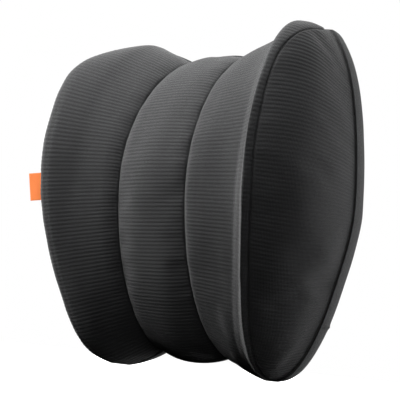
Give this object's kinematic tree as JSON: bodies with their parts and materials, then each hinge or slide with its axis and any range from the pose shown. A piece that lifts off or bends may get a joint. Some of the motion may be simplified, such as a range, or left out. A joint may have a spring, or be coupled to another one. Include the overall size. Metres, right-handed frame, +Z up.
{
  "type": "lumbar support cushion",
  "caption": "Butterfly-shaped lumbar support cushion with a ribbed knit cover, puffed front panels, deep side wings, a back zip and an elastic back strap.",
  "frame": {"origin": "centre of the whole cushion's outline in plan, at the lowest point of its wings", "axes": "+X to the right of someone facing its front, -Y out of the front, +Y out of the flat back, +Z up"},
  "size_m": [0.4174, 0.1644, 0.3865],
  "materials": {
    "cover_knit": "ribbed knit",
    "back_fabric": "smooth knit",
    "liner_jersey": "thin jersey",
    "memory_foam": "matt foam",
    "zip_tape_weave": "woven",
    "zip_coil_nylon": "satin",
    "zip_metal": "satin",
    "strap_elastic": "woven elastic",
    "strap_plastic": "satin",
    "tag_weave": "woven",
    "seam_thread": "twisted thread"
  },
  "bodies": {
    "cushion": {"cover_centre": "cover_knit", "cover_wing_left": "cover_knit", "cover_wing_right": "cover_knit", "cover_side_left": "cover_knit", "cover_side_right": "cover_knit", "cover_back_upper": "back_fabric", "cover_back_lower": "back_fabric", "inner_liner": "liner_jersey", "foam_core": "memory_foam", "zip_tape_upper": "zip_tape_weave", "zip_tape_lower": "zip_tape_weave", "zip_coil_upper": "zip_coil_nylon", "zip_coil_lower": "zip_coil_nylon", "zip_stop_closed": "zip_metal", "zip_stop_open": "zip_metal", "strap_web": "strap_elastic", "strap_ring_tab": "strap_elastic", "strap_patch_left": "strap_elastic", "strap_patch_right": "strap_elastic", "strap_ring": "strap_plastic", "side_tag": "tag_weave", "thread_centre_left": "seam_thread", "thread_centre_right": "seam_thread", "thread_nose_left": "seam_thread", "thread_nose_right": "seam_thread"},
    "slider": {"zip_slider": "zip_metal"},
    "pull": {"zip_pull": "zip_metal"},
    "glide": {"strap_glide": "strap_plastic"}
  },
  "joints": [
    {"name": "zip_slide", "type": "slide", "parent": "cushion", "child": "slider", "axis": [-1, 0, 0], "range_m": [0, 0.255]},
    {"name": "pull_swing", "type": "hinge", "parent": "slider", "child": "pull", "pos_m": [0.1278, 0.07861, 0.06317], "axis": [0, 0, -1], "range_deg": [0, 170]},
    {"name": "strap_glide_slide", "type": "slide", "parent": "cushion", "child": "glide", "axis": [1, 0, 0], "range_m": [-0.02, 0.14]}
  ]
}
